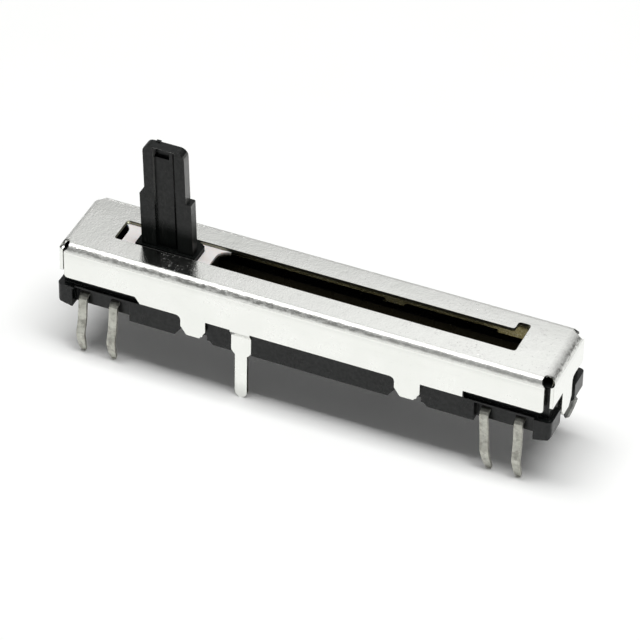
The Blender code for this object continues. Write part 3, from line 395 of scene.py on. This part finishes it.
def make_black(name, dark, light, worn, shoulder=None):
    """Satin black moulding: fine grain, flow marks and scuffs.

    Given a shoulder's height, its side faces are smoother above it and get a painted sheen, and its gloss
    fades below.
    """
    g = Surface(name)
    grain = g.noise(7000.0, detail=3.0, rough=0.65)
    flow = g.noise((500.0, 500.0, 160.0), detail=4.0, rough=0.6)
    streak = g.noise((4000.0, 4000.0, 300.0), detail=3.0, rough=0.6)
    scuff = g.ramp(g.noise((2500.0, 2500.0, 500.0), detail=3.0, rough=0.6), (0.62, 0.72))
    colour = g.mix(g.ramp(flow, SOFT), dark, light)
    colour = g.tint(colour, worn, scuff, SCUFF_SHARE)
    rough = g.math("ADD", g.ramp(flow, WIDE, (0.24, 0.34)), g.math("MULTIPLY", scuff, SCUFF_ROUGHER))
    gloss = g.ramp(g.noise(3000.0, detail=4.0, rough=0.7), WIDE, (0.22, 0.38))
    if shoulder is not None:
        z = g.split(g.place)[2]
        nx = g.split(g.flat)[0]
        sideways = g.ramp(g.math("ABSOLUTE", nx), (0.8, 0.95))
        above = g.ramp(z, span(-2.0, 0.0, shoulder))
        polish_and_sheen = g.product(sideways, above, g.ramp(streak, (0.3, 0.6), (0.7, 1.0)))
        rough = g.math("SUBTRACT", rough, g.math("MULTIPLY", polish_and_sheen, POLISH_SMOOTHER))
        # Painted sheen on the side faces above the shoulder
        colour = g.tint(colour, PAINTED_SIDE_SHEEN, polish_and_sheen, SIDE_SHEEN_SHARE)
        gloss = g.math("MULTIPLY", gloss, g.ramp(z, span(-4.3, -3.1, shoulder), (0.15, 0.92)))
    g.bump(g.rounded(70 * MICRON), (grain, 6 * MICRON), (flow, 12 * MICRON), (streak, 3 * MICRON))
    return g.finish(base_color=colour, roughness=rough, specular_ior_level=gloss)


def make_white():
    """Pale, slightly waxy moulding of the carrier, with painted shade on the walls below its top plate."""
    g = Surface("white_moulding_looks")
    z = g.split(g.place)[2]
    nz = g.split(g.flat)[2]
    grain = g.noise(6000.0, detail=2.0, rough=0.6)
    flow = g.noise(600.0, detail=3.0, rough=0.5)
    wall = g.ramp(g.math("ABSOLUTE", nz), (0.5, 0.3))
    # Painted shade on the walls below the top plate, which also turns the waxiness off there
    shaded_wall = g.math("MULTIPLY", wall, g.ramp(z, span(-0.10, -0.28, CARRIER_TOP)))
    colour = g.mix(g.ramp(flow, SOFT), WHITE_SHADE, WHITE_LIGHT)
    colour = g.mix(shaded_wall, colour, PAINTED_WALL_SHADE)
    g.bump(g.rounded(60 * MICRON), (grain, 2 * MICRON), (flow, 10 * MICRON))
    return g.finish(base_color=colour, roughness=g.ramp(flow, WIDE, (0.32, 0.45)),
                    subsurface_weight=g.ramp(shaded_wall, (0.0, 1.0), (WAXY_WEIGHT, 0.0)),
                    subsurface_radius=WAXY_RADIUS, subsurface_scale=WAXY_SCALE)


def make_board():
    """Phenolic paper board: brown with pressed fibres."""
    g = Surface("phenolic_board_looks")
    fibre = g.noise((700.0, 5000.0, 5000.0), detail=4.0, rough=0.7)
    colour = g.mix(g.ramp(fibre, WIDE), FIBRE_DARK, FIBRE_LIGHT)
    g.bump(g.rounded(40 * MICRON), (fibre, 6 * MICRON))
    return g.finish(base_color=colour, roughness=g.ramp(fibre, WIDE, (0.45, 0.65)))


def make_ink(name, dark, light, metallic, rough):
    """Printed track: grainy ink, dark carbon or pale silver."""
    g = Surface(name)
    grain = g.noise(9000.0, detail=3.0, rough=0.7)
    colour = g.mix(g.ramp(grain, WIDE), dark, light)
    g.bump(g.rounded(10 * MICRON), (grain, 3 * MICRON))
    rough = g.ramp(grain, WIDE, (rough, rough + UNEVEN))
    return g.finish(base_color=colour, metallic=metallic, roughness=rough)


def make_tinned(name, dark, light, stain, depth):
    """Dull hot-dipped tin on the terminals: lumpy, blotched and greyer where it thins."""
    g = Surface(name)
    lump = g.noise(1500.0, detail=4.0, rough=0.6)
    grain = g.noise(9000.0, detail=3.0, rough=0.65)
    blotch = g.ramp(g.noise(1900.0, detail=4.0, rough=0.65), (0.50, 0.64))
    colour = g.mix(g.ramp(lump, SOFT), dark, light)
    colour = g.tint(colour, stain, blotch, STAIN_SHARE)
    g.bump(g.rounded(60 * MICRON), (lump, depth), (grain, 6 * MICRON))
    rough = g.ramp(lump, WIDE, (0.42, 0.6))
    return g.finish(base_color=colour, metallic=TIN_METALLIC, roughness=rough)


def make_alloy(name, dark, light, rough):
    """Plain copper alloy with rolling lines, for the rivets and brushes."""
    g = Surface(name)
    rolled = g.noise((500.0, 8000.0, 8000.0), detail=3.0, rough=0.6)
    tarnish = g.noise(900.0, detail=3.0, rough=0.6)
    colour = g.mix(g.ramp(tarnish, (0.35, 0.7)), light, dark)
    g.bump(g.rounded(30 * MICRON), (rolled, 2 * MICRON))
    rough = g.ramp(tarnish, WIDE, (rough, rough + UNEVEN))
    return g.finish(base_color=colour, metallic=1.0, roughness=rough)


def dress(material, start):
    """Gives a material to every node whose name begins in one way."""
    for name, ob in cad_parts.items():
        if name.startswith(start):
            ob.data.materials.clear()
            ob.data.materials.append(material)


def make_looks():
    dress(make_tinplate(), "cover")
    dress(make_black("base_looks", dark=(0.003, 0.004, 0.004), light=(0.007, 0.008, 0.008),
                     worn=(0.02, 0.02, 0.02)), "base")
    dress(make_black("lever_looks", dark=(0.003, 0.004, 0.0035), light=(0.007, 0.008, 0.0075),
                     worn=(0.03, 0.03, 0.028), shoulder=LEVER_SHOULDER), "lever")
    dress(make_white(), "carrier")
    dress(make_board(), "element_board")
    dress(make_ink("carbon_ink_looks", dark=(0.010, 0.010, 0.011), light=(0.022, 0.022, 0.023),
                   metallic=0.0, rough=0.5), "carbon")
    dress(make_ink("silver_ink_looks", dark=(0.50, 0.49, 0.46), light=(0.68, 0.67, 0.64),
                   metallic=0.9, rough=0.35), "collector")
    dress(make_tinned("tinned_terminal_looks", dark=(0.44, 0.44, 0.39), light=(0.66, 0.66, 0.60),
                      stain=(0.24, 0.23, 0.20), depth=30 * MICRON), "terminal")
    # The bent lug at the open end is lumpier, and painted shade makes its colours darker, so it is dressed
    # again
    dress(make_tinned("shaded_lumpy_terminal_looks", dark=(0.26, 0.27, 0.28), light=(0.52, 0.52, 0.48),
                      stain=(0.09, 0.09, 0.09), depth=90 * MICRON), "terminal_back_1")
    dress(make_alloy("brass_rivet_looks", dark=(0.48, 0.34, 0.14), light=(0.70, 0.54, 0.27),
                     rough=0.25), "rivet")
    dress(make_alloy("spring_bronze_looks", dark=(0.45, 0.29, 0.15), light=(0.66, 0.46, 0.27),
                     rough=0.22), "brush")


# Camera

def make_camera():
    """The photograph's long lens: high and a little to the right of the front."""
    ca, sa = math.cos(AZIMUTH), math.sin(AZIMUTH)
    ce, se = math.cos(ELEVATION), math.sin(ELEVATION)
    back = Vector((sa * ce, -ca * ce, se))
    level = Vector((ca, sa, 0.0))
    rise = back.cross(level)
    right = math.cos(ROLL) * level + math.sin(ROLL) * rise
    up = -math.sin(ROLL) * level + math.cos(ROLL) * rise
    camera = bpy.data.objects.new("camera", bpy.data.cameras.new("camera"))
    camera.data.sensor_width = SENSOR_MM
    camera.data.lens = FOCAL_PIXELS * SENSOR_MM / PHOTO_PIXELS
    camera.data.clip_start = CLIP_START
    place = Matrix((right, up, back)).transposed().to_4x4()
    place.translation = back * DISTANCE + right * OFFSET_RIGHT + up * OFFSET_UP
    camera.matrix_world = place
    bpy.context.scene.collection.objects.link(camera)
    bpy.context.scene.camera = camera


# Floor, world and lamp

FLOOR_HALF = 0.5
FLOOR_COLOUR = (0.975, 0.98, 0.97)
FLOOR_SHADE = tuple(0.99 * c for c in FLOOR_COLOUR)
FLOOR_ROUGHNESS, FLOOR_GLOSS = 0.8, 0.2
FLOOR_GLOW = 0.035
WHITE = (1.0, 1.0, 1.0, 1.0)
ROOM_LIGHT = 0.17
LAMP_PLACE = Vector((0.05, -0.045, 0.90))
LAMP_AIM = Vector((0.05, -0.045, 0.0))
LAMP_LENGTH, LAMP_WIDTH = 1.00, 0.32
LAMP_POWER = 8.6


def make_floor():
    """A plain pale floor: it keeps the shadow, and a little of its own glow makes it white."""
    mesh = bpy.data.meshes.new("floor")
    h = FLOOR_HALF
    mesh.from_pydata([(-h, -h, 0.0), (h, -h, 0.0), (h, h, 0.0), (-h, h, 0.0)], [], [(0, 1, 2, 3)])
    floor = bpy.data.objects.new("floor", mesh)
    bpy.context.scene.collection.objects.link(floor)
    g = Surface("floor_looks")
    rays = g.node("ShaderNodeLightPath")
    seen = g.math("MAXIMUM", rays.outputs["Is Camera Ray"], rays.outputs["Is Glossy Ray"])
    grain = g.noise(90.0, detail=2.0, rough=0.5)
    colour = g.mix(g.ramp(grain, WIDE), FLOOR_COLOUR, FLOOR_SHADE)
    floor.data.materials.append(g.finish(
        base_color=colour, roughness=FLOOR_ROUGHNESS, specular_ior_level=FLOOR_GLOSS,
        emission_color=WHITE, emission_strength=g.math("MULTIPLY", seen, FLOOR_GLOW)))


def make_world():
    """Even room light. Gloss sees a studio that is bright overhead and behind, and dark in front."""
    world = bpy.data.worlds.new("studio")
    world.use_nodes = True
    bpy.context.scene.world = world
    g = Graph(world.node_tree)
    g.tree.nodes.clear()
    x, y, z = g.split(g.node("ShaderNodeTexCoord").outputs["Generated"])
    # Brightness by the height of a direction, first behind the part and then before it
    wall = g.ramp(z, (0.12, 0.50), (0.22, 0.78))
    upper_wall = g.ramp(z, (0.50, 0.65), (0.0, 0.54))
    ceiling = g.ramp(z, (0.70, 0.82), (0.0, 0.22))
    behind = g.math("SUBTRACT", g.math("ADD", wall, upper_wall), ceiling)
    before = g.ramp(z, (0.84, 0.96), (0.33, 0.98))
    front = g.ramp(y, (0.25, -0.25))
    bright = g.math("MULTIPLY_ADD", front, g.math("SUBTRACT", before, behind), behind)
    # Darker towards the left and the right
    left = g.ramp(x, (-0.40, -0.27), (0.62, 1.0))
    right = g.ramp(x, (-0.15, 0.30), (1.0, 0.56))
    studio = g.product(bright, left, right)
    # The camera sees a plain pale backdrop, gloss sees the studio, and all else the room light
    rays = g.node("ShaderNodeLightPath")
    seen = g.math("MAXIMUM", rays.outputs["Is Camera Ray"], rays.outputs["Is Transmission Ray"])
    glossy = rays.outputs["Is Glossy Ray"]
    room = g.math("MULTIPLY", g.math("SUBTRACT", 1.0, glossy), ROOM_LIGHT)
    unseen = g.math("MULTIPLY_ADD", glossy, studio, room)
    strength = g.math("MULTIPLY_ADD", g.math("SUBTRACT", 1.0, seen), unseen, seen)
    background = g.node("ShaderNodeBackground")
    g.join(strength, background.inputs["Strength"])
    output = g.node("ShaderNodeOutputWorld")
    g.join(background.outputs[0], output.inputs["Surface"])


def make_lamp():
    """One long soft lamp overhead."""
    data = bpy.data.lights.new("overhead_softbox", "AREA")
    data.shape = "RECTANGLE"
    data.size, data.size_y = LAMP_LENGTH, LAMP_WIDTH
    data.energy = LAMP_POWER
    lamp = bpy.data.objects.new("overhead_softbox", data)
    lamp.location = LAMP_PLACE
    lamp.rotation_euler = (LAMP_AIM - LAMP_PLACE).to_track_quat("-Z", "Y").to_euler()
    bpy.context.scene.collection.objects.link(lamp)


make_looks()
make_camera()
make_floor()
make_world()
make_lamp()
bpy.context.scene.view_settings.view_transform = "Standard"
